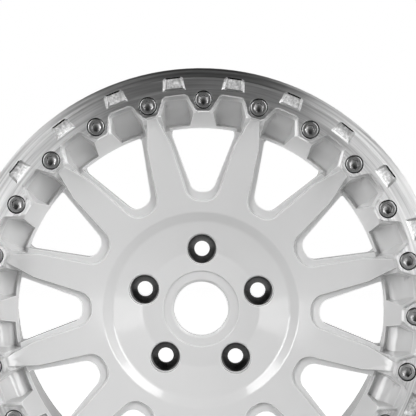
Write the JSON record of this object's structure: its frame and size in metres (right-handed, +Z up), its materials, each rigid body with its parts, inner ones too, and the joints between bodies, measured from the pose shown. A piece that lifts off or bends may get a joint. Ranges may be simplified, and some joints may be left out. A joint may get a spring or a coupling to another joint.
{
  "type": "alloy wheel",
  "caption": "Road wheel with a painted spoked casting and barrel, and a machined scalloped clamp ring bolted to its face, for a hub with a bolt circle and centre bore",
  "frame": {"origin": "the wheel's centre: on the spin axis, midway between the ring's face and the inner edge of the rim", "axes": "+Y is the spin axis, from the face towards the vehicle; the face looks towards -Y; +Z is up, through a lug hole and a clamp bolt"},
  "size_m": [0.4716, 0.238, 0.4715],
  "materials": {
    "white_paint": "gloss white enamel",
    "machined_aluminium": "lathe turned",
    "zinc_steel": "bright zinc plated",
    "dark_steel": "bare machined cone"
  },
  "bodies": {
    "root": {"wheel_body": "white_paint", "outer_ring": "machined_aluminium", "clamp_bolts": "zinc_steel", "lug_seat_1": "dark_steel", "lug_seat_2": "dark_steel", "lug_seat_3": "dark_steel", "lug_seat_4": "dark_steel", "lug_seat_5": "dark_steel"}
  },
  "joints": []
}
